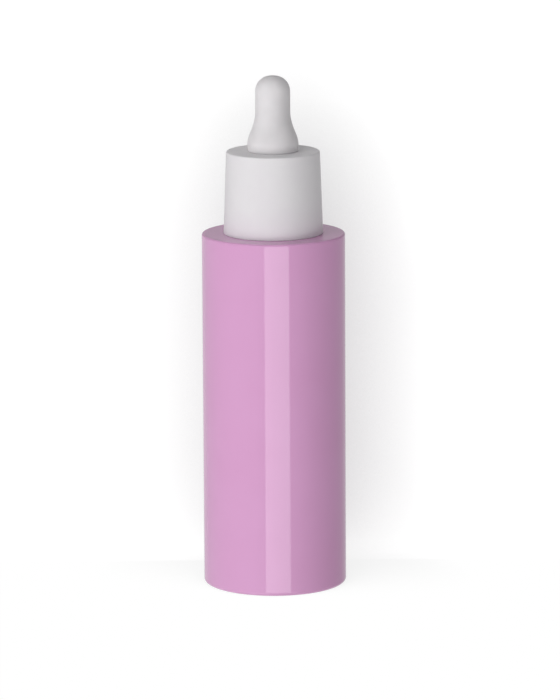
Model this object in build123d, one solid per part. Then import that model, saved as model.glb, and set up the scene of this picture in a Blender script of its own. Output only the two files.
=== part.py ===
from build123d import *
import os

os.makedirs("parts", exist_ok=True)

# Dropper bottle: a double-walled bottle with a screwed dropper standing in its neck.
# Millimetres, Z up. The origin is the middle of the base, on the table.

# Pink outer shell, open at the foot
body_diameter = 38.0
body_height = 94.5
shell_wall = 1.6
shoulder_thickness = 1.8
shoulder_edge_radius = 0.55
foot_edge_radius = 1.0

# Base plug, pushed in from below
plug_floor_height = 0.8
plug_floor_thickness = 1.6
plug_foot_ring_width = 2.0
plug_skirt_height = 9.0
plug_skirt_wall = 1.2
plug_rib_count = 12
plug_rib_width = 1.0
plug_rib_height = 5.5

# Inner bottle, which holds the liquid
air_gap = 2.2
bottle_wall = 1.2
bottle_heel_radius = 2.2
bottle_punt_radius = 10.0
bottle_punt_height = 1.0
bottle_land_width = 2.0
bottle_shoulder_drop = 4.5
neck_root_diameter = 17.7
thread_depth = 1.1
neck_wall = 1.45
neck_height = 14.1
neck_stub_step = 0.25
neck_stub_height = 1.5
neck_lip_chamfer = 0.3
neck_snap_bead = 0.25

# Wiper, a soft insert in the mouth of the neck
wiper_flange_thickness = 0.8
wiper_flange_setback = 0.5
wiper_depth = 7.0
wiper_wall = 0.8
wiper_funnel_height = 2.6
wiper_lip_height = 0.8

# Glass pipette
pipette_diameter = 7.6
pipette_wall = 0.8
pipette_bead_width = 0.45
pipette_bead_height = 1.2
pipette_bead_share = 0.8
pipette_tip_diameter = 3.0
pipette_tip_bore = 1.3
pipette_tip_length = 14.0
pipette_floor_gap = 5.0

# Sealing washer and the silicone bulb
washer_thickness = 1.0
lip_setback = 0.45
bulb_lip_thickness = 1.6
bulb_height = 20.0
bulb_foot_diameter = 13.5
bulb_foot_roll = 0.75
bulb_foot_land = 0.3
bulb_foot_height = 1.9
bulb_tube_diameter = 9.24
bulb_flare_top = 10.6
ogee_low_pull = 0.28
ogee_high_pull = 0.47
bulb_dome_flat = 0.5
bulb_wall = 1.15
bulb_chamber_room = 0.9
bulb_sleeve_height = 3.2

# Screwed closure: a ribbed inner cap inside a smooth white collar
cap_wall = 1.0
cap_plate = 1.5
cap_flange_height = 1.4
cap_stub_gap = 0.5
cap_rib_count = 24
cap_rib_width = 0.8
cap_rib_depth = 0.25
collar_wall = 1.0
collar_plate = 1.2
collar_flare = 0.76
collar_top_radius = 0.45
collar_edge_chamfer = 0.2
collar_foot_gap = 0.2

# Clearances
fixed_fit = 0.05
turning_fit = 0.1
thread_fit = 0.15
wiping_fit = 0.08
seal_gap = 0.1

# Radii and heights that follow from the sizes above
body_radius = body_diameter / 2
shell_bore_radius = body_radius - shell_wall
bottle_radius = shell_bore_radius - air_gap
root_radius = neck_root_diameter / 2
crest_radius = root_radius + thread_depth
stub_radius = crest_radius + neck_stub_step
neck_bore_radius = root_radius - neck_wall
pipette_radius = pipette_diameter / 2
bead_radius = pipette_radius + pipette_bead_width
seal_radius = root_radius - lip_setback
foot_radius = bulb_foot_diameter / 2
waist_radius = foot_radius - bulb_foot_roll - bulb_foot_land
tube_radius = bulb_tube_diameter / 2
cap_bore_radius = crest_radius + thread_fit
cap_radius = cap_bore_radius + cap_wall
collar_top_inner = cap_radius + cap_rib_depth + fixed_fit
plug_radius = shell_bore_radius - fixed_fit

bottle_base_z = plug_floor_height + plug_floor_thickness
bottle_land_z = body_height - shoulder_thickness
finish_z = body_height + neck_stub_height
neck_top_z = finish_z + neck_height
wiper_top_z = neck_top_z + wiper_flange_thickness
washer_z = wiper_top_z + seal_gap
lip_z = washer_z + washer_thickness
lip_top_z = lip_z + bulb_lip_thickness
cap_ceiling_z = lip_top_z + seal_gap
cap_top_z = cap_ceiling_z + cap_plate
collar_top_z = cap_top_z + collar_plate
collar_foot_z = body_height + collar_foot_gap
cap_foot_z = finish_z + cap_stub_gap
bulb_foot_z = collar_top_z + fixed_fit
bulb_top_z = collar_top_z + bulb_height
pipette_seat_z = collar_top_z + bulb_sleeve_height
pipette_top_z = pipette_seat_z + pipette_bead_height
bottle_floor_z = bottle_base_z + bottle_punt_height + bottle_wall
pipette_tip_z = bottle_floor_z + pipette_floor_gap


def turned(*edges):
    # A closed half section, drawn as radius and height, stood up and turned about Z
    section = make_face(Wire(list(edges)))
    return revolve(Plane.XZ * section, Axis.Z, 360)


def turned_outline(points):
    # The same for a half section of straight runs
    return turned(*Polyline(*points, close=True).edges())


def corner_edges(solid, radius, height):
    # The circles of one radius at one height
    return [
        edge
        for edge in solid.edges().filter_by(GeomType.CIRCLE)
        if abs(edge.radius - radius) < 0.001 and abs(edge.center().Z - height) < 0.001
    ]


def rounded(solid, *corners):
    # Each corner is given as radius, height and fillet radius
    for radius, height, fillet_radius in corners:
        solid = fillet(corner_edges(solid, radius, height), fillet_radius)
    return solid


def bevelled(solid, *corners):
    # Each corner is given as radius, height and chamfer length
    for radius, height, length in corners:
        solid = chamfer(corner_edges(solid, radius, height), length)
    return solid


def outer_shell():
    # Side wall and flat shoulder in one moulding, with a hole that the neck comes through
    hole_radius = stub_radius + fixed_fit
    shell = turned_outline(
        [
            (shell_bore_radius, 0),
            (body_radius, 0),
            (body_radius, body_height),
            (hole_radius, body_height),
            (hole_radius, bottle_land_z),
            (shell_bore_radius, bottle_land_z),
        ]
    )
    return rounded(
        shell,
        (body_radius, body_height, shoulder_edge_radius),
        (body_radius, 0, foot_edge_radius),
    )


def base_plug():
    # A recessed floor in a foot ring, a skirt that grips the shell, and ribs that centre the bottle
    skirt_inner = plug_radius - plug_skirt_wall
    ring_inner = plug_radius - plug_foot_ring_width
    plug = turned_outline(
        [
            (0, plug_floor_height),
            (ring_inner, plug_floor_height),
            (ring_inner, 0),
            (plug_radius, 0),
            (plug_radius, plug_skirt_height),
            (skirt_inner, plug_skirt_height),
            (skirt_inner, bottle_base_z),
            (0, bottle_base_z),
        ]
    )
    rib_inner = bottle_radius + turning_fit
    rib_length = skirt_inner + fixed_fit - rib_inner
    rib = Box(
        rib_length,
        plug_rib_width,
        plug_rib_height,
        align=(Align.MIN, Align.CENTER, Align.MIN),
    )
    rib = Pos(rib_inner, 0, bottle_base_z) * rib
    for number in range(plug_rib_count):
        plug += Rot(0, 0, number * 360 / plug_rib_count) * rib
    return plug


def inner_bottle():
    # Straight body, pushed-up base, sloping shoulder under a flat land, and the neck
    inside_radius = bottle_radius - bottle_wall
    inside_base_z = bottle_base_z + bottle_wall
    shoulder_z = bottle_land_z - bottle_shoulder_drop
    land_radius = stub_radius + bottle_land_width
    bead_radius = stub_radius + neck_snap_bead
    bead_low_z = body_height + fixed_fit
    bead_high_z = bead_low_z + 2 * neck_snap_bead
    outside = turned_outline(
        [
            (0, bottle_base_z),
            (bottle_radius, bottle_base_z),
            (bottle_radius, shoulder_z),
            (land_radius, bottle_land_z),
            (stub_radius, bottle_land_z),
            (stub_radius, bead_low_z),
            (bead_radius, bead_low_z + neck_snap_bead),
            (stub_radius, bead_high_z),
            (stub_radius, finish_z),
            (root_radius, finish_z),
            (root_radius, neck_top_z),
            (0, neck_top_z),
        ]
    )
    inside = turned_outline(
        [
            (0, inside_base_z),
            (inside_radius, inside_base_z),
            (inside_radius, shoulder_z),
            (neck_bore_radius, bottle_land_z - bottle_wall),
            (neck_bore_radius, neck_top_z),
            (0, neck_top_z),
        ]
    )
    inside = bevelled(inside, (inside_radius, inside_base_z, bottle_heel_radius - bottle_wall))
    outside = rounded(outside, (bottle_radius, bottle_base_z, bottle_heel_radius))
    outside = bevelled(outside, (root_radius, neck_top_z, neck_lip_chamfer))
    push_up = Cone(
        bottle_punt_radius,
        bottle_punt_radius - bottle_punt_height,
        bottle_punt_height,
        align=(Align.CENTER, Align.CENTER, Align.MIN),
    )
    bottle = outside - (inside - Pos(0, 0, inside_base_z) * push_up)
    return bottle - Pos(0, 0, bottle_base_z) * push_up


def neck_wiper():
    # A flange on the neck's rim, a plug in its bore, and a funnel down to the wiping lip
    plug_outer = neck_bore_radius - fixed_fit
    plug_inner = plug_outer - wiper_wall
    lip_inner = pipette_radius + wiping_fit
    flange_radius = root_radius - wiper_flange_setback
    foot_z = wiper_top_z - wiper_depth
    funnel_z = foot_z + wiper_funnel_height
    return turned_outline(
        [
            (plug_outer, neck_top_z),
            (flange_radius, neck_top_z),
            (flange_radius, wiper_top_z),
            (plug_inner, wiper_top_z),
            (plug_inner, funnel_z),
            (lip_inner, foot_z + wiper_lip_height),
            (lip_inner, foot_z),
            (lip_inner + wiper_wall, foot_z),
            (plug_outer, funnel_z - wiper_wall),
        ]
    )


def pipette():
    # A glass tube with a beaded top that hooks over the bulb's sleeve, and a drawn tip
    bore_radius = pipette_radius - pipette_wall
    taper_z = pipette_tip_z + pipette_tip_length
    tube = turned_outline(
        [
            (pipette_tip_bore / 2, pipette_tip_z),
            (pipette_tip_diameter / 2, pipette_tip_z),
            (pipette_radius, taper_z),
            (pipette_radius, pipette_seat_z),
            (bead_radius, pipette_seat_z),
            (bead_radius, pipette_top_z),
            (bore_radius, pipette_top_z),
            (bore_radius, taper_z),
        ]
    )
    bead_chamfer = pipette_bead_share * pipette_bead_width
    return bevelled(
        tube,
        (bead_radius, pipette_seat_z, bead_chamfer),
        (bead_radius, pipette_top_z, bead_chamfer),
    )


def sealing_washer():
    # A flat ring round the pipette, between the wiper and the bulb's lip
    return turned_outline(
        [
            (pipette_radius + fixed_fit, washer_z),
            (seal_radius, washer_z),
            (seal_radius, lip_z),
            (pipette_radius + fixed_fit, lip_z),
        ]
    )


def ogee(low, high):
    # A smooth run between two upright walls, hollow above and full below
    rise = high[1] - low[1]
    return Bezier(
        low,
        (low[0], low[1] + ogee_low_pull * rise),
        (high[0], high[1] - ogee_high_pull * rise),
        high,
    )


def bulb():
    # Lip under the cap, waist through both plates, rolled foot, flare, tube and dome.
    # The hollow keeps an even wall and narrows below to the sleeve that grips the pipette.
    dome_radius = tube_radius - bulb_dome_flat
    dome_z = bulb_top_z - dome_radius
    roll_centre_radius = foot_radius - bulb_foot_roll
    roll_z = bulb_foot_z + bulb_foot_roll
    flare_z = collar_top_z + bulb_foot_height
    tube_z = collar_top_z + bulb_flare_top
    sleeve_radius = pipette_radius + fixed_fit
    chamber_radius = tube_radius - bulb_wall
    chamber_foot_radius = bead_radius + bulb_chamber_room

    outer = [
        Polyline(
            (sleeve_radius, lip_z),
            (seal_radius, lip_z),
            (seal_radius, lip_top_z),
            (waist_radius, lip_top_z),
            (waist_radius, bulb_foot_z),
            (roll_centre_radius, bulb_foot_z),
        ),
        CenterArc((roll_centre_radius, roll_z), bulb_foot_roll, -90, 90),
        Line((foot_radius, roll_z), (foot_radius, flare_z)),
        ogee((foot_radius, flare_z), (tube_radius, tube_z)),
        Line((tube_radius, tube_z), (tube_radius, dome_z)),
        CenterArc((bulb_dome_flat, dome_z), dome_radius, 0, 90),
        Line((bulb_dome_flat, bulb_top_z), (0, bulb_top_z)),
    ]
    inner = [
        Polyline(
            (0, bulb_top_z),
            (0, bulb_top_z - bulb_wall),
            (bulb_dome_flat, bulb_top_z - bulb_wall),
        ),
        CenterArc((bulb_dome_flat, dome_z), dome_radius - bulb_wall, 90, -90),
        Line((chamber_radius, dome_z), (chamber_radius, tube_z)),
        ogee((chamber_foot_radius, pipette_seat_z), (chamber_radius, tube_z)),
        Polyline(
            (chamber_foot_radius, pipette_seat_z),
            (sleeve_radius, pipette_seat_z),
            (sleeve_radius, lip_z),
        ),
    ]
    return turned(*[edge for run in outer + inner for edge in run.edges()])


def collar_inner_radius(z):
    # The inside of the collar widens evenly from its ceiling to its foot
    share = (cap_top_z - z) / (cap_top_z - collar_foot_z)
    return collar_top_inner + collar_flare * share


def inner_cap():
    # A plate held by the bulb's waist, a skirt round the neck, a foot flange and gripping ribs
    hole_radius = waist_radius + turning_fit
    flange_z = cap_foot_z + cap_flange_height
    cap = turned_outline(
        [
            (hole_radius, cap_ceiling_z),
            (cap_bore_radius, cap_ceiling_z),
            (cap_bore_radius, cap_foot_z),
            (collar_inner_radius(cap_foot_z) - fixed_fit, cap_foot_z),
            (collar_inner_radius(flange_z) - fixed_fit, flange_z),
            (cap_radius, flange_z),
            (cap_radius, cap_top_z),
            (hole_radius, cap_top_z),
        ]
    )
    grip = turned_outline(
        [
            (cap_radius - cap_wall / 2, flange_z),
            (collar_inner_radius(flange_z) - fixed_fit, flange_z),
            (collar_inner_radius(cap_top_z) - fixed_fit, cap_top_z),
            (cap_radius - cap_wall / 2, cap_top_z),
        ]
    )
    blank = Box(
        2 * cap_radius,
        cap_rib_width,
        cap_top_z,
        align=(Align.MIN, Align.CENTER, Align.MIN),
    )
    for number in range(cap_rib_count):
        cap += grip & (Rot(0, 0, number * 360 / cap_rib_count) * blank)
    return cap


def collar_shell():
    # A smooth tapered cover, pressed down over the inner cap
    hole_radius = waist_radius + turning_fit
    foot_inner = collar_inner_radius(collar_foot_z)
    top_outer = collar_top_inner + collar_wall
    foot_outer = foot_inner + collar_wall
    collar = turned_outline(
        [
            (hole_radius, cap_top_z),
            (collar_top_inner, cap_top_z),
            (foot_inner, collar_foot_z),
            (foot_outer, collar_foot_z),
            (top_outer, collar_top_z),
            (hole_radius, collar_top_z),
        ]
    )
    collar = bevelled(
        collar,
        (foot_outer, collar_foot_z, collar_edge_chamfer),
        (hole_radius, collar_top_z, collar_edge_chamfer),
    )
    return rounded(collar, (top_outer, collar_top_z, collar_top_radius))


pieces = {
    "outer_shell": outer_shell,
    "base_plug": base_plug,
    "inner_bottle": inner_bottle,
    "neck_wiper": neck_wiper,
    "pipette": pipette,
    "sealing_washer": sealing_washer,
    "bulb": bulb,
    "inner_cap": inner_cap,
    "collar_shell": collar_shell,
}

for name, make in pieces.items():
    export_step(make(), f"parts/{name}.step")
    print(name, "written")
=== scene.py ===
import math

import bmesh
import bpy
from mathutils import Matrix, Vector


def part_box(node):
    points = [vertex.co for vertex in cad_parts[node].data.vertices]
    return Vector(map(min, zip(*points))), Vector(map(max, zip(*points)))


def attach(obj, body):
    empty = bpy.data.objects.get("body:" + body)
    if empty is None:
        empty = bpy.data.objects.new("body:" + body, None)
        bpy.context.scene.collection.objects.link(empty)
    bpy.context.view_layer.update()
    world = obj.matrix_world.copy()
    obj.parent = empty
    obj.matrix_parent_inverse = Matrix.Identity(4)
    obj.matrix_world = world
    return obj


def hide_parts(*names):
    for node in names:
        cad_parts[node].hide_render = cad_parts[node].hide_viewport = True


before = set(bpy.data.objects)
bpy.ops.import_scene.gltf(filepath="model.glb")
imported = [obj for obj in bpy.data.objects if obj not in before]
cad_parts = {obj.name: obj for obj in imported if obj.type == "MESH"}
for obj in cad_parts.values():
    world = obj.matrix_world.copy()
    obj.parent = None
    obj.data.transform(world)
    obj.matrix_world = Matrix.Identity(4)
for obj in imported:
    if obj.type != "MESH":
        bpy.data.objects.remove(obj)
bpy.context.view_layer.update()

print("frame loaded:", len(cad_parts), "solids")

mm = 0.001               # the dictionaries hold millimetres, unless a note says otherwise
near = 0.004 * mm        # how far off its place an edge may lie and still be picked
poleRadius = 0.5         # the small ring that is drawn in to a point on the axis
roundingSteps = 6        # faces across each rounded edge


# Selecting and shaping

def makeActive(*pieces):
    bpy.ops.object.select_all(action="DESELECT")
    for piece in pieces:
        piece.select_set(True)
    bpy.context.view_layer.objects.active = pieces[0]


def nodeSize(node):
    # radius, foot and top of a round node
    low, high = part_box(node)
    return high.x / mm, low.z / mm, high.z / mm


def raiseRings(name, rings, sides):
    # a circle goes up ring by ring: extruded edges, then scaled to the next radius
    bpy.ops.object.select_all(action="DESELECT")
    radius, height = rings[0]
    bpy.ops.mesh.primitive_circle_add(vertices=sides, radius=radius * mm, location=(0, 0, height * mm))
    piece = bpy.context.object
    piece.name = name
    piece.data.name = name
    bpy.ops.object.transform_apply(location=True, rotation=True, scale=True)
    bpy.ops.object.mode_set(mode="EDIT")
    bpy.ops.mesh.select_mode(type="EDGE")
    bpy.ops.mesh.select_all(action="SELECT")
    for (lastRadius, lastHeight), (radius, height) in zip(rings, rings[1:]):
        rise = (height - lastHeight) * mm
        share = radius / lastRadius
        bpy.ops.mesh.extrude_edges_move(TRANSFORM_OT_translate={"value": (0, 0, rise)})
        bpy.ops.transform.resize(value=(share, share, 1), center_override=(0, 0, height * mm))
    return piece


def selectEdges(piece, isPlaced):
    # the edges that have both ends in the wanted place
    bpy.ops.mesh.select_all(action="DESELECT")
    shape = bmesh.from_edit_mesh(piece.data)
    for edge in shape.edges:
        edge.select = all(isPlaced(vertex.co) for vertex in edge.verts)
    shape.select_flush_mode()
    bmesh.update_edit_mesh(piece.data)


def selectOpenEdges():
    bpy.ops.mesh.select_all(action="DESELECT")
    bpy.ops.mesh.select_non_manifold(
        extend=False, use_wire=False, use_boundary=True,
        use_multi_face=False, use_non_contiguous=False, use_verts=False,
    )


def closePole():
    # the selected small ring is drawn in to one point
    bpy.ops.mesh.extrude_edges_move(TRANSFORM_OT_translate={"value": (0, 0, 0)})
    bpy.ops.mesh.merge(type="CENTER")


def turnPiece(name, corners, sides=128, ends="bridge"):
    # corners are radius, height and the rounding there, in order round the half section
    piece = raiseRings(name, [(radius, height) for radius, height, rounding in corners], sides)
    if ends == "bridge":
        selectOpenEdges()
        bpy.ops.mesh.bridge_edge_loops()
    else:
        closePole()
        selectOpenEdges()
        closePole()
    for radius, height, rounding in corners:
        if rounding:
            selectEdges(piece, lambda place: abs(math.hypot(place.x, place.y) - radius * mm) < near
                        and abs(place.z - height * mm) < near)
            bpy.ops.mesh.bevel(offset=rounding * mm, segments=roundingSteps, affect="EDGES")
    bpy.ops.object.mode_set(mode="OBJECT")
    return piece


def addRib(inner, outer, foot, top, width):
    # one upright rib on the +X side
    bpy.ops.object.select_all(action="DESELECT")
    bpy.ops.mesh.primitive_cube_add(
        size=1, location=((inner + outer) / 2 * mm, 0, (foot + top) / 2 * mm),
        scale=((outer - inner) * mm, width * mm, (top - foot) * mm),
    )
    bpy.ops.object.transform_apply(location=True, rotation=True, scale=True)
    return bpy.context.object


def copyRound(piece, count):
    # the piece and its copies, each with its own mesh, evenly round the axis
    ring = [piece]
    for number in range(1, count):
        turned = piece.copy()
        turned.data = piece.data.copy()
        turned.data.transform(Matrix.Rotation(2 * math.pi * number / count, 4, "Z"))
        bpy.context.collection.objects.link(turned)
        ring.append(turned)
    return ring


def joinInto(piece, others):
    makeActive(piece, *others)
    bpy.ops.object.join()


def finishShape(piece, smoothAngle=38):
    # normals outwards, smooth by angle, and the large faces lead the shading
    makeActive(piece)
    bpy.ops.object.mode_set(mode="EDIT")
    bpy.ops.mesh.select_all(action="SELECT")
    bpy.ops.mesh.normals_make_consistent(inside=False)
    bpy.ops.object.mode_set(mode="OBJECT")
    bpy.ops.object.shade_smooth_by_angle(angle=math.radians(smoothAngle))
    weighted = piece.modifiers.new("leadingFaces", "WEIGHTED_NORMAL")
    weighted.keep_sharp = True
    bpy.ops.object.modifier_apply(modifier=weighted.name)


def dress(piece, material, body, stands=()):
    piece.data.materials.clear()
    piece.data.materials.append(material)
    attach(piece, body)
    if stands:
        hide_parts(*stands)


def ogeeRings(low, high, lowPull, highPull, count):
    # a smooth run between two upright walls, as a cubic curve; pulls are shares of the rise
    rise = high[1] - low[1]
    pulls = (low, (low[0], low[1] + lowPull * rise), (high[0], high[1] - highPull * rise), high)
    rings = []
    for step in range(count + 1):
        t = step / count
        weights = ((1 - t) ** 3, 3 * t * (1 - t) ** 2, 3 * t * t * (1 - t), t ** 3)
        rings.append(tuple(sum(w * p[axis] for w, p in zip(weights, pulls)) for axis in (0, 1)))
    return rings


def arcRings(centre, radius, fromDegrees, toDegrees, count):
    rings = []
    for step in range(count + 1):
        turn = math.radians(fromDegrees + (toDegrees - fromDegrees) * step / count)
        rings.append((centre[0] + radius * math.cos(turn), centre[1] + radius * math.sin(turn)))
    return rings


# What both screw threads share. The section's shoulders and flat are shares of its depth and
# crest, and thinEnd is the share of it that is left at the ends
threadForm = {"pitch": 3.175, "sunk": 0.3, "shoulderHeight": 0.86, "shoulderWidth": 1.25,
              "flatWidth": 0.6, "runOutDegrees": 28, "thinEnd": 0.04, "stepsPerTurn": 96,
              "mergeDistance": 0.0005, "smoothAngle": 50}


def threadRidge(name, thread, side):
    # a helix drawn as a curve, with the thread's section along it, thinning out at both ends;
    # side is 1 for an outside thread and -1 for an inside one
    section = bpy.data.curves.new(name + "Section", "CURVE")
    section.dimensions = "2D"
    outline = section.splines.new("POLY")
    half, crest = thread["rootWidth"] / 2, thread["crestWidth"] / 2
    depth, sunk = thread["depth"] * side, -threadForm["sunk"] * side
    shoulder = depth * threadForm["shoulderHeight"]
    wide, flat = crest * threadForm["shoulderWidth"], crest * threadForm["flatWidth"]
    shape = [(sunk, -half), (0, -half), (shoulder, -wide), (depth, -flat),
             (depth, flat), (shoulder, wide), (0, half), (sunk, half)]
    outline.points.add(len(shape) - 1)
    for point, (x, y) in zip(outline.points, shape):
        point.co = (x * mm, y * mm, 0, 1)
    outline.use_cyclic_u = True
    sectionObject = bpy.data.objects.new(name + "Section", section)
    bpy.context.collection.objects.link(sectionObject)

    helix = bpy.data.curves.new(name, "CURVE")
    helix.dimensions = "3D"
    helix.twist_mode = "Z_UP"
    helix.bevel_mode = "OBJECT"
    helix.bevel_object = sectionObject
    helix.use_fill_caps = True
    line = helix.splines.new("POLY")
    steps = int(thread["turns"] * threadForm["stepsPerTurn"])
    line.points.add(steps)
    radius = thread["rootRadius"] * mm
    thinEnd = threadForm["thinEnd"]
    for number, point in enumerate(line.points):
        share = number / steps
        turn = 2 * math.pi * thread["turns"] * share + math.radians(thread["startDegrees"])
        height = thread["lowHeight"] + threadForm["pitch"] * thread["turns"] * share
        point.co = (radius * math.cos(turn), radius * math.sin(turn), height * mm, 1)
        fade = min(1, min(share, 1 - share) * thread["turns"] * 360 / threadForm["runOutDegrees"])
        point.radius = thinEnd + (1 - thinEnd) * math.sin(fade * math.pi / 2)
    ridge = bpy.data.objects.new(name, helix)
    bpy.context.collection.objects.link(ridge)
    makeActive(ridge)
    bpy.ops.object.convert(target="MESH")
    bpy.data.objects.remove(sectionObject)
    ridge = bpy.context.object
    bpy.ops.object.mode_set(mode="EDIT")
    bpy.ops.mesh.select_all(action="SELECT")
    bpy.ops.mesh.remove_doubles(threshold=threadForm["mergeDistance"] * mm)
    bpy.ops.mesh.normals_make_consistent(inside=False)
    bpy.ops.object.mode_set(mode="OBJECT")
    return ridge


# Colours and materials

noiseLow, noiseHigh = 0.3, 0.7      # nearly all of a noise's values lie between these


def srgb(hexColour):
    # sRGB hex to the linear colour that the shader wants
    channels = [int(hexColour[i:i + 2], 16) / 255 for i in (1, 3, 5)]
    linear = [c / 12.92 if c <= 0.04045 else ((c + 0.055) / 1.055) ** 2.4 for c in channels]
    return (*linear, 1)


def addNode(tree, kind, links=None, **settings):
    # links give a socket a value or another node's output
    node = tree.nodes.new(kind)
    for name, value in settings.items():
        setattr(node, name, value)
    for name, value in (links or {}).items():
        if isinstance(value, bpy.types.NodeSocket):
            tree.links.new(value, node.inputs[name])
        else:
            node.inputs[name].default_value = value
    return node


def newMaterial(name):
    material = bpy.data.materials.new(name)
    material.use_nodes = True
    tree = material.node_tree
    return material, tree, tree.nodes["Principled BSDF"]


def mouldedSurface(name, look):
    # clouds tint the colour, a sheen pattern moves the roughness and a fine grain makes the
    # bumps; their sizes, the grain's depth and the way light goes in are real millimetres
    material, tree, shader = newMaterial(name)
    place = addNode(tree, "ShaderNodeTexCoord").outputs["Object"]
    clouds = addNode(tree, "ShaderNodeTexNoise", {"Vector": place, "Scale": 1 / (look["cloudSize"] * mm)})
    tint = addNode(tree, "ShaderNodeMapRange", {
        "Value": clouds.outputs["Fac"], "From Min": noiseLow, "From Max": noiseHigh})
    colour = addNode(tree, "ShaderNodeMix", {
        0: tint.outputs["Result"], 6: srgb(look["light"]), 7: srgb(look["deep"])}, data_type="RGBA")
    sheen = addNode(tree, "ShaderNodeTexNoise", {"Vector": place, "Scale": 1 / (look["sheenSize"] * mm)})
    rough = addNode(tree, "ShaderNodeMapRange", {
        "Value": sheen.outputs["Fac"], "From Min": noiseLow, "From Max": noiseHigh,
        "To Min": look["roughLow"], "To Max": look["roughHigh"]})
    grain = addNode(tree, "ShaderNodeTexNoise", {
        "Vector": place, "Scale": 1 / (look["grainSize"] * mm),
        "Detail": look["grainDetail"], "Roughness": look["grainTooth"]})
    bumps = addNode(tree, "ShaderNodeBump", {
        "Height": grain.outputs["Fac"], "Distance": look["grainDepth"] * mm, "Strength": 1})
    tree.links.new(colour.outputs[2], shader.inputs["Base Color"])
    tree.links.new(rough.outputs["Result"], shader.inputs["Roughness"])
    tree.links.new(bumps.outputs["Normal"], shader.inputs["Normal"])
    shader.inputs["IOR"].default_value = look["ior"]
    if "scatter" in look:
        shader.inputs["Subsurface Weight"].default_value = look["scatter"]
        shader.inputs["Subsurface Radius"].default_value = look["scatterTint"]
        shader.inputs["Subsurface Scale"].default_value = look["scatterDepth"] * mm
    return material


def drawnGlass(look):
    # the lines are stretched along the tube, as it was drawn
    material, tree, shader = newMaterial("drawnGlass")
    place = addNode(tree, "ShaderNodeTexCoord")
    along = addNode(tree, "ShaderNodeMapping", {
        "Vector": place.outputs["Object"], "Scale": (1, 1, look["lineStretch"])})
    lines = addNode(tree, "ShaderNodeTexNoise", {
        "Vector": along.outputs["Vector"], "Scale": 1 / (look["lineSize"] * mm)})
    tint = addNode(tree, "ShaderNodeMapRange", {
        "Value": lines.outputs["Fac"], "From Min": noiseLow, "From Max": noiseHigh})
    colour = addNode(tree, "ShaderNodeMix", {
        0: tint.outputs["Result"], 6: srgb(look["light"]), 7: srgb(look["deep"])}, data_type="RGBA")
    bumps = addNode(tree, "ShaderNodeBump", {
        "Height": lines.outputs["Fac"], "Distance": look["lineDepth"] * mm, "Strength": 1})
    tree.links.new(colour.outputs[2], shader.inputs["Base Color"])
    tree.links.new(bumps.outputs["Normal"], shader.inputs["Normal"])
    shader.inputs["Roughness"].default_value = look["rough"]
    shader.inputs["IOR"].default_value = look["ior"]
    shader.inputs["Transmission Weight"].default_value = look["clearness"]
    return material


print("helpers ready")

# ABS moulded in a polished tool: clear sharp reflections over an even pink,
# with the faint orange peel that the melt leaves
pinkGloss = mouldedSurface("polishedPinkPlastic", {
    "light": "#dca3d0", "deep": "#daa0cd", "cloudSize": 18,
    "roughLow": 0.035, "roughHigh": 0.06, "sheenSize": 6,
    "grainSize": 2.2, "grainDepth": 0.0012, "grainDetail": 2, "grainTooth": 0.5, "ior": 1.5})

# the same ABS from an unpolished tool, as the plug underneath has: a soft dull pink
pinkSatin = mouldedSurface("satinPinkPlastic", {
    "light": "#cf97c2", "deep": "#c98fbc", "cloudSize": 9,
    "roughLow": 0.34, "roughHigh": 0.44, "sheenSize": 2,
    "grainSize": 0.35, "grainDepth": 0.008, "grainDetail": 3, "grainTooth": 0.5, "ior": 1.5})

# polypropylene from a spark-eroded tool: a fine even tooth that spreads every reflection;
# the real tooth is about 0.03 mm, and is drawn coarser so that it shows
whiteSatin = mouldedSurface("satinWhitePolypropylene", {
    "light": "#e8e6e8", "deep": "#e6e3e6", "cloudSize": 7,
    "roughLow": 0.5, "roughHigh": 0.58, "sheenSize": 1.5,
    "grainSize": 0.3, "grainDepth": 0.01, "grainDetail": 4, "grainTooth": 0.6, "ior": 1.49,
    "scatter": 0.4, "scatterTint": (1.0, 0.98, 1.0), "scatterDepth": 1.0})

# moulded silicone rubber: grey-white, a little light goes in, and the skin is dry and dull
silicone = mouldedSurface("mattSilicone", {
    "light": "#e8e5e7", "deep": "#e2dfe1", "cloudSize": 5,
    "roughLow": 0.56, "roughHigh": 0.66, "sheenSize": 2,
    "grainSize": 0.4, "grainDepth": 0.008, "grainDetail": 3, "grainTooth": 0.5, "ior": 1.41,
    "scatter": 0.6, "scatterTint": (1.0, 0.95, 0.95), "scatterDepth": 1.4})

# plain polypropylene and polyethylene: milky, waxy and slightly see-through at the edges
waxy = {"cloudSize": 5, "roughLow": 0.28, "roughHigh": 0.36, "sheenSize": 2,
        "grainSize": 0.6, "grainDepth": 0.004, "grainDetail": 3, "grainTooth": 0.5, "ior": 1.49,
        "scatter": 0.35, "scatterTint": (1.0, 1.0, 0.95), "scatterDepth": 1.2}
milkyBottle = mouldedSurface("naturalPolypropylene", {**waxy, "light": "#f0efeb", "deep": "#e9e8e3"})
milkyWiper = mouldedSurface("softPolyethylene", {**waxy, "light": "#f3f2ee", "deep": "#ecebe6"})
whiteCap = mouldedSurface("whitePolypropylene", {**waxy, "light": "#f1f0f0", "deep": "#ebeaea"})

# soda-lime tube drawn from the furnace: clear, with long faint draw lines
clearGlass = drawnGlass({
    "light": "#f8faf9", "deep": "#f3f7f6", "lineSize": 2.4, "lineDepth": 0.0003,
    "lineStretch": 0.02, "rough": 0.0, "ior": 1.52, "clearness": 1.0})
print("materials ready")


# Pink outer shell: side wall and shoulder in one, open below

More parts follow.
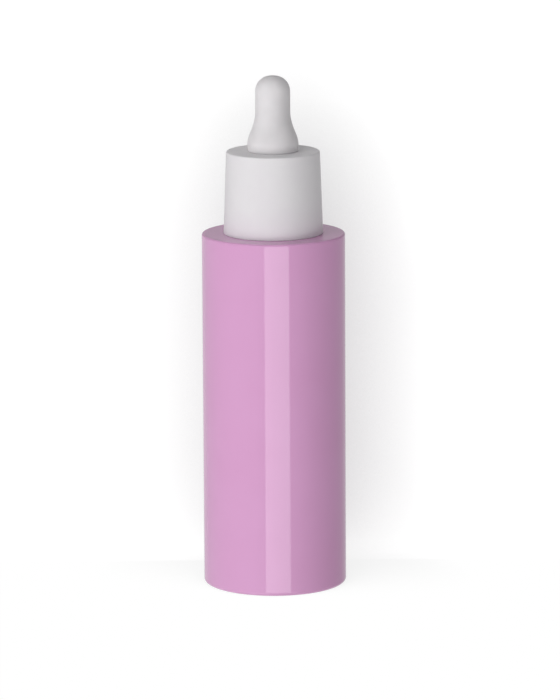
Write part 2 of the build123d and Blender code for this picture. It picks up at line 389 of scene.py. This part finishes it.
shellRadius, shellFoot, shellTop = nodeSize("outer_shell")
shell = {"wall": 1.6, "shoulderThickness": 1.8, "shoulderRound": 0.55, "footRound": 1.0,
         "holeRadius": 10.25, "holeRound": 0.15, "footInnerRound": 0.1, "sides": 192}
shellBore = shellRadius - shell["wall"]
landHeight = shellTop - shell["shoulderThickness"]
pinkShell = turnPiece(
    "pink_shell",
    [
        (shellBore, shellFoot, shell["footInnerRound"]),
        (shellRadius, shellFoot, shell["footRound"]),
        (shellRadius, shellTop, shell["shoulderRound"]),
        (shell["holeRadius"], shellTop, shell["holeRound"]),
        (shell["holeRadius"], landHeight, 0),
        (shellBore, landHeight, 0),
    ],
    shell["sides"],
)
finishShape(pinkShell)
dress(pinkShell, pinkGloss, "bottle", ["outer_shell"])
print("outer shell done")


# Base plug: recessed floor with the mark of the moulding gate, foot ring, skirt and ribs

plugRadius, plugFoot, plugTop = nodeSize("base_plug")
plug = {"floorHeight": 0.8, "floorThickness": 1.6, "ringWidth": 2.0, "ringSlope": 0.2,
        "skirtWall": 1.2, "stepRadius": 9.0, "stepDepth": 0.25, "gateRadius": 1.6,
        "gateDepth": 0.35, "gateFlare": 0.24, "gatePole": 0.4, "fineRound": 0.1,
        "edgeRound": 0.15, "rimRound": 0.2, "skirtRound": 0.3, "ribCount": 12, "ribWidth": 1.0,
        "ribHeight": 5.5, "ribLength": 0.9, "ribSunk": 0.05}
plugCeiling = plug["floorHeight"] + plug["floorThickness"]
plugRing = plugRadius - plug["ringWidth"]
plugSkirt = plugRadius - plug["skirtWall"]
stepCeiling = plug["floorHeight"] + plug["stepDepth"]
gateCeiling = stepCeiling + plug["gateDepth"]
basePlug = turnPiece(
    "base_plug_moulding",
    [
        (plug["gatePole"], gateCeiling, 0),
        (plug["gateRadius"], gateCeiling, plug["fineRound"]),
        (plug["gateRadius"] + plug["gateFlare"], stepCeiling, plug["fineRound"]),
        (plug["stepRadius"], stepCeiling, plug["fineRound"]),
        (plug["stepRadius"] + plug["stepDepth"], plug["floorHeight"], plug["fineRound"]),
        (plugRing - plug["ringSlope"], plug["floorHeight"], plug["rimRound"]),
        (plugRing, plugFoot, plug["edgeRound"]),
        (plugRadius, plugFoot, plug["edgeRound"]),
        (plugRadius, plugTop, plug["rimRound"]),
        (plugSkirt, plugTop, plug["rimRound"]),
        (plugSkirt, plugCeiling, plug["skirtRound"]),
        (poleRadius, plugCeiling, 0),
    ],
    ends="poles",
)
ribOuter = plugSkirt + plug["ribSunk"]
plugRib = addRib(ribOuter - plug["ribLength"], ribOuter, plugCeiling, plugCeiling + plug["ribHeight"],
                 plug["ribWidth"])
joinInto(basePlug, copyRound(plugRib, plug["ribCount"]))
finishShape(basePlug)
dress(basePlug, pinkSatin, "bottle", ["base_plug"])
print("base plug done")


# Inner bottle: body, shoulder, neck with its snap bead, and the screw thread

bottleRadius, bottleFoot, neckTop = nodeSize("inner_bottle")
bottle = {"wall": 1.2, "heelRound": 2.2, "puntRadius": 10.0, "puntHeight": 1.0, "puntRound": 0.3,
          "bodyRound": 1.0, "shoulderDrop": 4.5, "landWidth": 2.0, "landRound": 0.3,
          "stubRadius": 10.2, "stubHeight": 1.5, "stubRound": 0.2, "beadGap": 0.05,
          "snapBead": 0.25, "beadRound": 0.08, "rootRadius": 8.85, "rootRound": 0.3,
          "lipRound": 0.3, "boreRadius": 7.4, "boreRound": 0.15, "boreFootRound": 0.4}
bottleInside = bottleRadius - bottle["wall"]
bottleShoulder = landHeight - bottle["shoulderDrop"]
beadHeight = shellTop + bottle["beadGap"]
finishHeight = shellTop + bottle["stubHeight"]
puntTop = bottleFoot + bottle["puntHeight"]
puntInner = bottle["puntRadius"] - bottle["puntHeight"]
innerBottle = turnPiece(
    "inner_bottle_body",
    [
        (poleRadius, puntTop, 0),
        (puntInner, puntTop, bottle["puntRound"]),
        (bottle["puntRadius"], bottleFoot, bottle["puntRound"]),
        (bottleRadius, bottleFoot, bottle["heelRound"]),
        (bottleRadius, bottleShoulder, bottle["bodyRound"]),
        (bottle["stubRadius"] + bottle["landWidth"], landHeight, bottle["landRound"]),
        (bottle["stubRadius"], landHeight, 0),
        (bottle["stubRadius"], beadHeight, 0),
        (bottle["stubRadius"] + bottle["snapBead"], beadHeight + bottle["snapBead"], bottle["beadRound"]),
        (bottle["stubRadius"], beadHeight + 2 * bottle["snapBead"], 0),
        (bottle["stubRadius"], finishHeight, bottle["stubRound"]),
        (bottle["rootRadius"], finishHeight, bottle["rootRound"]),
        (bottle["rootRadius"], neckTop, bottle["lipRound"]),
        (bottle["boreRadius"], neckTop, bottle["boreRound"]),
        (bottle["boreRadius"], landHeight - bottle["wall"], bottle["boreFootRound"]),
        (bottleInside, bottleShoulder, bottle["bodyRound"]),
        (bottleInside, bottleFoot + bottle["wall"], bottle["bodyRound"]),
        (bottle["puntRadius"], bottleFoot + bottle["wall"], bottle["puntRound"]),
        (puntInner, puntTop + bottle["wall"], bottle["puntRound"]),
        (poleRadius, puntTop + bottle["wall"], 0),
    ],
    ends="poles",
)
neckThread = {"rootRadius": bottle["rootRadius"], "depth": 1.1, "rootWidth": 1.9, "crestWidth": 0.9,
              "turns": 1.35, "lowHeight": 102.4, "startDegrees": -140}
neckRidge = threadRidge("neck_thread", neckThread, 1)
finishShape(innerBottle)
finishShape(neckRidge, threadForm["smoothAngle"])
dress(innerBottle, milkyBottle, "bottle", ["inner_bottle"])
dress(neckRidge, milkyBottle, "bottle")
print("inner bottle done")


# Wiper: flange on the rim, plug in the bore, funnel to the wiping lip

wiperRadius, wiperFoot, wiperTop = nodeSize("neck_wiper")
wiper = {"plugRadius": 7.35, "wall": 0.8, "funnelHeight": 2.6, "lipHeight": 0.8, "lipRadius": 3.88,
         "fineRound": 0.1, "lipRound": 0.15, "flangeRound": 0.25, "mouthRound": 0.35,
         "funnelRound": 0.5, "outsideRound": 0.6}
wiperInner = wiper["plugRadius"] - wiper["wall"]
funnelHeight = wiperFoot + wiper["funnelHeight"]
neckWiper = turnPiece(
    "neck_wiper_insert",
    [
        (wiper["plugRadius"], neckTop, 0),
        (wiperRadius, neckTop, wiper["fineRound"]),
        (wiperRadius, wiperTop, wiper["flangeRound"]),
        (wiperInner, wiperTop, wiper["mouthRound"]),
        (wiperInner, funnelHeight, wiper["funnelRound"]),
        (wiper["lipRadius"], wiperFoot + wiper["lipHeight"], wiper["lipRound"]),
        (wiper["lipRadius"], wiperFoot, wiper["fineRound"]),
        (wiper["lipRadius"] + wiper["wall"], wiperFoot, wiper["fineRound"]),
        (wiper["plugRadius"], funnelHeight - wiper["wall"], wiper["outsideRound"]),
    ],
)
finishShape(neckWiper)
dress(neckWiper, milkyWiper, "bottle", ["neck_wiper"])
print("wiper done")


# Pipette: glass tube, beaded top, drawn and fire-polished tip

beadRadius, tipHeight, pipetteTop = nodeSize("pipette")
tube = {"radius": 3.8, "wall": 0.8, "beadHeight": 1.2, "beadRound": 0.4, "tipRadius": 1.5,
        "tipBore": 0.65, "tipRound": 0.3, "taperLength": 14.0, "taperRound": 3.0,
        "fineRound": 0.15, "mouthRound": 0.2, "sides": 96}
seatHeight = pipetteTop - tube["beadHeight"]
taperHeight = tipHeight + tube["taperLength"]
tubeBore = tube["radius"] - tube["wall"]
glassPipette = turnPiece(
    "glass_pipette",
    [
        (tube["tipBore"], tipHeight, tube["fineRound"]),
        (tube["tipRadius"], tipHeight, tube["tipRound"]),
        (tube["radius"], taperHeight, tube["taperRound"]),
        (tube["radius"], seatHeight, tube["fineRound"]),
        (beadRadius, seatHeight, tube["beadRound"]),
        (beadRadius, pipetteTop, tube["beadRound"]),
        (tubeBore, pipetteTop, tube["mouthRound"]),
        (tubeBore, taperHeight, tube["taperRound"]),
    ],
    tube["sides"],
)
finishShape(glassPipette)
dress(glassPipette, clearGlass, "dropper", ["pipette"])
print("pipette done")


# Sealing washer

washerRadius, washerFoot, washerTop = nodeSize("sealing_washer")
washer = {"holeRadius": 3.85, "edgeRound": 0.15}
sealingWasher = turnPiece(
    "sealing_washer_ring",
    [
        (washer["holeRadius"], washerFoot, washer["edgeRound"]),
        (washerRadius, washerFoot, washer["edgeRound"]),
        (washerRadius, washerTop, washer["edgeRound"]),
        (washer["holeRadius"], washerTop, washer["edgeRound"]),
    ],
)
finishShape(sealingWasher)
dress(sealingWasher, milkyWiper, "dropper", ["sealing_washer"])
print("washer done")


# Bulb: lip, waist, rolled foot, flare, tube and dome, hollow inside

lipRadius, lipFoot, bulbTop = nodeSize("bulb")
collarRadius, collarTop = nodeSize("collar_shell")[::2]
bulb = {"lipThickness": 1.6, "waistRadius": 5.7, "footRadius": 6.75, "footRoll": 0.25,
        "footGap": 0.01, "footHeight": 1.9, "flareTop": 10.6, "lowPull": 0.28, "highPull": 0.47,
        "tubeRadius": 4.62, "domeFlat": 0.5, "wall": 1.15, "chamberFootRadius": 5.15,
        "sleeveRadius": 3.85, "sleeveHeight": 3.2, "edgeRound": 0.2, "fineRound": 0.1,
        "footRound": 0.05, "rollSteps": 8, "flareSteps": 22, "domeSteps": 18, "insideSteps": 12}
lipTop = lipFoot + bulb["lipThickness"]
bulbFoot = collarTop + bulb["footGap"]
sleeveTop = collarTop + bulb["sleeveHeight"]
domeRadius = bulb["tubeRadius"] - bulb["domeFlat"]
domeHeight = bulbTop - domeRadius
flareHigh = collarTop + bulb["flareTop"]
chamberRadius = bulb["tubeRadius"] - bulb["wall"]
outerSkin = (
    arcRings((bulb["footRadius"] - bulb["footRoll"], bulbFoot + bulb["footRoll"]), bulb["footRoll"],
             -90, 0, bulb["rollSteps"])
    + ogeeRings((bulb["footRadius"], collarTop + bulb["footHeight"]), (bulb["tubeRadius"], flareHigh),
                bulb["lowPull"], bulb["highPull"], bulb["flareSteps"])
    + arcRings((bulb["domeFlat"], domeHeight), domeRadius, 0, 90, bulb["domeSteps"])
)
innerSkin = (
    arcRings((bulb["domeFlat"], domeHeight), domeRadius - bulb["wall"], 90, 0, bulb["insideSteps"])
    + ogeeRings((bulb["chamberFootRadius"], sleeveTop), (chamberRadius, flareHigh),
                bulb["lowPull"], bulb["highPull"], bulb["insideSteps"])[::-1]
)
siliconeBulb = turnPiece(
    "silicone_bulb",
    [(radius, height, 0) for radius, height in innerSkin]
    + [
        (bulb["sleeveRadius"], sleeveTop, bulb["edgeRound"]),
        (bulb["sleeveRadius"], lipFoot, bulb["fineRound"]),
        (lipRadius, lipFoot, bulb["edgeRound"]),
        (lipRadius, lipTop, bulb["edgeRound"]),
        (bulb["waistRadius"], lipTop, bulb["fineRound"]),
        (bulb["waistRadius"], bulbFoot, bulb["footRound"]),
    ]
    + [(radius, height, 0) for radius, height in outerSkin],
    ends="poles",
)
finishShape(siliconeBulb)
dress(siliconeBulb, silicone, "dropper", ["bulb"])
print("bulb done")


# Inner cap: plate, skirt, foot flange, gripping ribs and the inside thread

capFootRadius, capFoot, capTop = nodeSize("inner_cap")
screwCap = {"boreRadius": 10.1, "wall": 1.0, "plate": 1.5, "flangeHeight": 1.4, "flangeTaper": 0.05,
            "holeRadius": 5.8, "fineRound": 0.1, "footRound": 0.15, "edgeRound": 0.2,
            "boreRound": 0.25, "plateRound": 0.4, "ribCount": 24, "ribWidth": 0.8, "ribSunk": 0.4,
            "ribTopRadius": 11.35, "ribFootInset": 0.1}
capRadius = screwCap["boreRadius"] + screwCap["wall"]
capCeiling = capTop - screwCap["plate"]
flangeHeight = capFoot + screwCap["flangeHeight"]
innerCap = turnPiece(
    "inner_cap_body",
    [
        (screwCap["holeRadius"], capCeiling, screwCap["fineRound"]),
        (screwCap["boreRadius"], capCeiling, screwCap["plateRound"]),
        (screwCap["boreRadius"], capFoot, screwCap["boreRound"]),
        (capFootRadius, capFoot, screwCap["footRound"]),
        (capFootRadius - screwCap["flangeTaper"], flangeHeight, screwCap["fineRound"]),
        (capRadius, flangeHeight, screwCap["edgeRound"]),
        (capRadius, capTop, screwCap["edgeRound"]),
        (screwCap["holeRadius"], capTop, screwCap["fineRound"]),
    ],
)
gripRib = addRib(capRadius - screwCap["ribSunk"], screwCap["ribTopRadius"], flangeHeight, capTop,
                 screwCap["ribWidth"])
for vertex in gripRib.data.vertices:     # the rib leans out to the flange at its foot
    if vertex.co.x > capRadius * mm and vertex.co.z < (flangeHeight + capTop) / 2 * mm:
        vertex.co.x = (capFootRadius - screwCap["ribFootInset"]) * mm
joinInto(innerCap, copyRound(gripRib, screwCap["ribCount"]))
capThread = {"rootRadius": screwCap["boreRadius"], "depth": 0.85, "rootWidth": 1.3, "crestWidth": 0.6,
             "turns": 1.2, "lowHeight": 99.2, "startDegrees": -150}
capRidge = threadRidge("cap_thread", capThread, -1)
finishShape(innerCap)
finishShape(capRidge, threadForm["smoothAngle"])
dress(innerCap, whiteCap, "cap", ["inner_cap"])
dress(capRidge, whiteCap, "cap")
print("inner cap done")


# Collar: smooth tapered cover

collar = {"wall": 1.0, "topRadius": 12.4, "topRound": 0.45, "edgeRound": 0.12, "footRound": 0.06,
          "fineRound": 0.1, "insideRound": 0.2, "holeRadius": 5.8, "footGap": 0.04, "sides": 160}
collarLow = shellTop + collar["footGap"]
whiteCollar = turnPiece(
    "white_collar",
    [
        (collar["holeRadius"], capTop, collar["fineRound"]),
        (collar["topRadius"] - collar["wall"], capTop, collar["insideRound"]),
        (collarRadius - collar["wall"], collarLow, collar["edgeRound"]),
        (collarRadius, collarLow, collar["footRound"]),
        (collar["topRadius"], collarTop, collar["topRound"]),
        (collar["holeRadius"], collarTop, collar["edgeRound"]),
    ],
    collar["sides"],
)
finishShape(whiteCollar)
dress(whiteCollar, whiteSatin, "cap", ["collar_shell"])
print("collar done")


# Studio: one sheet of pale paper that is floor and backdrop, soft lamps, camera

# shade, shadeReach and shadeSamples set the painted shade in the glow near the object: its depth, its
# reach in millimetres and its samples
paper = {"paint": 0.15, "glow": 0.998, "shade": 0.625, "shadeReach": 34, "shadeSamples": 8,
         "litFrom": (-0.2, -0.92, -0.33), "gap": 1.0, "cove": 5.0, "coveSteps": 12,
         "smoothAngle": 60, "front": 4000, "width": 8000, "height": 2000}


def seamlessPaper():
    # matt white paper: its paint keeps the lamps' shadow, and its glow carries a painted shade that
    # darkens it softly near the object,
    #     # deeper on the side away from litFrom; it shows no crease, as its paint is lit alike where it
    #     lies and where it stands; from behind it isn't there
    material, tree, shader = newMaterial("seamlessPaper")
    tree.nodes.remove(shader)
    litFrom = addNode(tree, "ShaderNodeCombineXYZ", dict(zip("XYZ", paper["litFrom"]))).outputs[0]
    paint = addNode(tree, "ShaderNodeBsdfDiffuse", {
        "Color": (paper["paint"], paper["paint"], paper["paint"], 1), "Normal": litFrom})
    # painted shade: the glow is dimmed where the object is near, as occlusion seen towards litFrom
    paintedShadeOpenness = addNode(tree, "ShaderNodeAmbientOcclusion", {
        "Distance": paper["shadeReach"] * mm, "Normal": litFrom}, samples=paper["shadeSamples"])
    paintedShadeLevel = addNode(tree, "ShaderNodeMapRange", {
        "Value": paintedShadeOpenness.outputs["AO"],
        "To Min": paper["glow"] * (1 - paper["shade"]), "To Max": paper["glow"]})
    glow = addNode(tree, "ShaderNodeEmission", {"Strength": paintedShadeLevel.outputs[0]})
    card = addNode(tree, "ShaderNodeAddShader", {0: paint.outputs[0], 1: glow.outputs[0]})
    side = addNode(tree, "ShaderNodeNewGeometry")
    clear = addNode(tree, "ShaderNodeBsdfTransparent")
    surface = addNode(tree, "ShaderNodeMixShader", {
        0: side.outputs["Backfacing"], 1: card.outputs[0], 2: clear.outputs[0]})
    tree.links.new(surface.outputs[0], tree.nodes["Material Output"].inputs["Surface"])
    return material


def isFold(place):
    # where the lying part of the sheet ends and the standing part starts
    return abs(place.y - sheetBack * mm) < near and abs(place.z) < near


sheetBack = shellRadius + paper["gap"] + paper["cove"]
sheetDepth = paper["front"] + sheetBack
bpy.ops.object.select_all(action="DESELECT")
bpy.ops.mesh.primitive_plane_add(size=1, location=(0, (sheetDepth / 2 - paper["front"]) * mm, 0))
sheet = bpy.context.object
sheet.name = "paper_sweep"
bpy.ops.transform.resize(value=(paper["width"] * mm, sheetDepth * mm, 1))
bpy.ops.object.transform_apply(location=True, rotation=True, scale=True)
bpy.ops.object.mode_set(mode="EDIT")
bpy.ops.mesh.select_mode(type="EDGE")
selectEdges(sheet, isFold)
bpy.ops.mesh.extrude_edges_move(TRANSFORM_OT_translate={"value": (0, 0, paper["height"] * mm)})
selectEdges(sheet, isFold)
bpy.ops.mesh.bevel(offset=paper["cove"] * mm, segments=paper["coveSteps"], affect="EDGES")
bpy.ops.object.mode_set(mode="OBJECT")
bpy.ops.object.shade_smooth_by_angle(angle=math.radians(paper["smoothAngle"]))
sheet.data.materials.append(seamlessPaper())
# the light on the object comes through the paper, and gloss shows the air's white instead
sheet.visible_glossy = False
sheet.visible_diffuse = False
sheet.visible_shadow = False

# strengths of the air as light and as gloss sees it, and the ways, each a part of a direction
# from -1 to 1, between which one strength turns into the other
air = {"white": 1.0, "ambientBelow": 0.55, "ambientAbove": 0.27, "ambientWay": 0.35,
       "glossAbove": 0.45, "lowWay": -0.5, "highWay": 0.2,
       "glossLeft": 1.0, "glossRight": 0.6, "leftWay": -0.2, "rightWay": 1.0}
world = bpy.data.worlds.new("studioAir")
bpy.context.scene.world = world
world.use_nodes = True
sky = world.node_tree
sky.nodes.clear()
skyRays = addNode(sky, "ShaderNodeLightPath")
skyWay = addNode(sky, "ShaderNodeTexCoord")
skyParts = addNode(sky, "ShaderNodeSeparateXYZ", {0: skyWay.outputs["Generated"]})
# gloss shows white downwards, as the floor is, and greyer upwards and to the right
glossLevel = addNode(sky, "ShaderNodeMapRange", {
    "Value": skyParts.outputs["Z"], "From Min": air["lowWay"], "From Max": air["highWay"],
    "To Min": air["white"], "To Max": air["glossAbove"]})
glossSide = addNode(sky, "ShaderNodeMapRange", {
    "Value": skyParts.outputs["X"], "From Min": air["leftWay"], "From Max": air["rightWay"],
    "To Min": air["glossLeft"], "To Max": air["glossRight"]})
glossBoth = addNode(sky, "ShaderNodeMath", {
    0: glossLevel.outputs[0], 1: glossSide.outputs[0]}, operation="MULTIPLY")
glossPart = addNode(sky, "ShaderNodeMath", {
    0: skyRays.outputs["Is Glossy Ray"], 1: glossBoth.outputs[0]}, operation="MULTIPLY")
# the camera and the glass see plain white
skySeen = addNode(sky, "ShaderNodeMath", {
    0: skyRays.outputs["Is Camera Ray"], 1: skyRays.outputs["Is Transmission Ray"]}, operation="MAXIMUM")
skyShown = addNode(sky, "ShaderNodeMath", {0: skySeen.outputs[0], 1: air["white"]}, operation="MULTIPLY")
skyBoth = addNode(sky, "ShaderNodeMath", {
    0: skyShown.outputs[0], 1: glossPart.outputs[0]}, operation="MAXIMUM")
# the light that fills the shade comes mostly from below, as white paper throws it back
ambientLevel = addNode(sky, "ShaderNodeMapRange", {
    "Value": skyParts.outputs["Z"], "From Min": -air["ambientWay"], "From Max": air["ambientWay"],
    "To Min": air["ambientBelow"], "To Max": air["ambientAbove"]})
skyOther = addNode(sky, "ShaderNodeMath", {
    0: skySeen.outputs[0], 1: skyRays.outputs["Is Glossy Ray"]}, operation="MAXIMUM")
skyLevel = addNode(sky, "ShaderNodeMix", {
    0: skyOther.outputs[0], 2: ambientLevel.outputs[0], 3: skyBoth.outputs[0]})
skyGlow = addNode(sky, "ShaderNodeBackground", {"Color": (1, 1, 1, 1), "Strength": skyLevel.outputs[0]})
addNode(sky, "ShaderNodeOutputWorld", {"Surface": skyGlow.outputs[0]})

# azimuth from the camera's side towards +X and elevation in degrees, distance, width and
# height in metres, and the brightness of the lamp's face; only the front card shows in gloss,
# as the pale strip down the body
lamps = {
    "frontCard": {"azimuth": 5.0, "elevation": -11.3, "distance": 1.2, "width": 0.84, "height": 0.26,
                  "brightness": 2.6, "mirrored": True},
    "keyWindow": {"azimuth": -36, "elevation": 4, "distance": 1.6, "width": 1.5, "height": 0.8,
                  "brightness": 2.85, "mirrored": False},
    "rightFill": {"azimuth": 125, "elevation": 4, "distance": 1.6, "width": 0.9, "height": 0.8,
                  "brightness": 0.45, "mirrored": False},
    "topWindow": {"azimuth": -42, "elevation": 47, "distance": 1.6, "width": 1.2, "height": 0.8,
                  "brightness": 1.55, "mirrored": False},
    "backFill": {"azimuth": 180, "elevation": 14, "distance": 1.6, "width": 1.4, "height": 0.8,
                 "brightness": 2.4, "mirrored": False},
}
lampAim = 0.05           # metres above the floor: the point on the axis that every lamp faces


def addLamp(name, lamp):
    turn, tilt = math.radians(lamp["azimuth"]), math.radians(lamp["elevation"])
    flat = lamp["distance"] * math.cos(tilt)
    height = lampAim + lamp["distance"] * math.sin(tilt)
    bpy.ops.object.select_all(action="DESELECT")
    bpy.ops.object.light_add(
        type="AREA", location=(flat * math.sin(turn), -flat * math.cos(turn), height),
        rotation=(math.pi / 2 - tilt, 0, turn),
    )
    light = bpy.context.object
    light.name = name
    light.data.shape = "RECTANGLE"
    light.data.size = lamp["width"]
    light.data.size_y = lamp["height"]
    light.data.energy = lamp["brightness"] * math.pi * lamp["width"] * lamp["height"]
    light.visible_glossy = lamp["mirrored"]


for name, lamp in lamps.items():
    addLamp(name, lamp)

# The camera stands where the photograph's outlines say it stood, with a long lens;
# the turns are degrees
view = {"distance": 1377.5, "height": 334.8, "pitch": 11.17, "yaw": 0.066, "roll": -0.30,
        "lens": 271.6, "sensorWidth": 36, "nearest": 10}
bpy.ops.object.select_all(action="DESELECT")
bpy.ops.object.camera_add()
camera = bpy.context.object
camera.data.lens = view["lens"]
camera.data.sensor_width = view["sensorWidth"]
camera.data.clip_start = view["nearest"] * mm
camera.matrix_world = (
    Matrix.Translation((0, -view["distance"] * mm, view["height"] * mm))
    @ Matrix.Rotation(-math.radians(view["yaw"]), 4, "Z")
    @ Matrix.Rotation(math.radians(90 - view["pitch"]), 4, "X")
    @ Matrix.Rotation(math.radians(view["roll"]), 4, "Z")
)
bpy.context.scene.camera = camera
bpy.context.scene.view_settings.view_transform = "Standard"
print("studio done")
